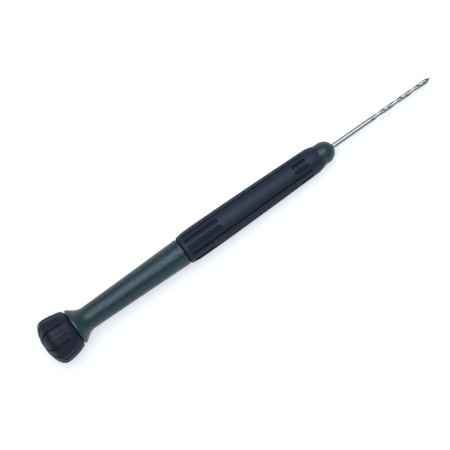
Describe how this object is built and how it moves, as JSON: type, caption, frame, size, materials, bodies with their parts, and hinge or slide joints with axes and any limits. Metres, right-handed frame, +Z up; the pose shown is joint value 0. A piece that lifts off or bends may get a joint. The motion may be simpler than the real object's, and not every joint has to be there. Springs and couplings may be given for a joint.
{
  "type": "boilie drill",
  "caption": "Slim hand drill for hard fishing bait: twist drill in a round handle with a soft grip, and a palm knob that turns freely at the butt.",
  "frame": {"origin": "centre of the bounding box's base, on the flat surface that the drill lies on", "axes": "+X along the tool towards the drill's tip, +Z up from the surface, +Y across the tool"},
  "size_m": [0.1704, 0.018, 0.0176],
  "materials": {
    "green_plastic": "satin",
    "black_rubber": "matte",
    "knob_rubber": "matte",
    "drill_steel": "polished",
    "screw_steel": "satin",
    "washer_steel": "satin",
    "insert_brass": "satin",
    "bush_bronze": "satin",
    "black_acetal": "satin",
    "hub_plastic": "satin"
  },
  "bodies": {
    "handle": {"drill_bit": "drill_steel", "handle_core": "green_plastic", "grip_sleeve": "black_rubber", "tail_insert": "insert_brass", "pivot_screw": "screw_steel", "head_washer": "washer_steel", "thrust_washer": "black_acetal"},
    "knob": {"knob_hub": "hub_plastic", "knob_bush": "bush_bronze", "knob_cover": "knob_rubber"}
  },
  "joints": [
    {"name": "knob_swivel", "type": "hinge", "parent": "handle", "child": "knob", "pos_m": [-0.07831, 0, 0.00892], "axis": [0.9994, 0, -0.0359], "continuous": true}
  ]
}
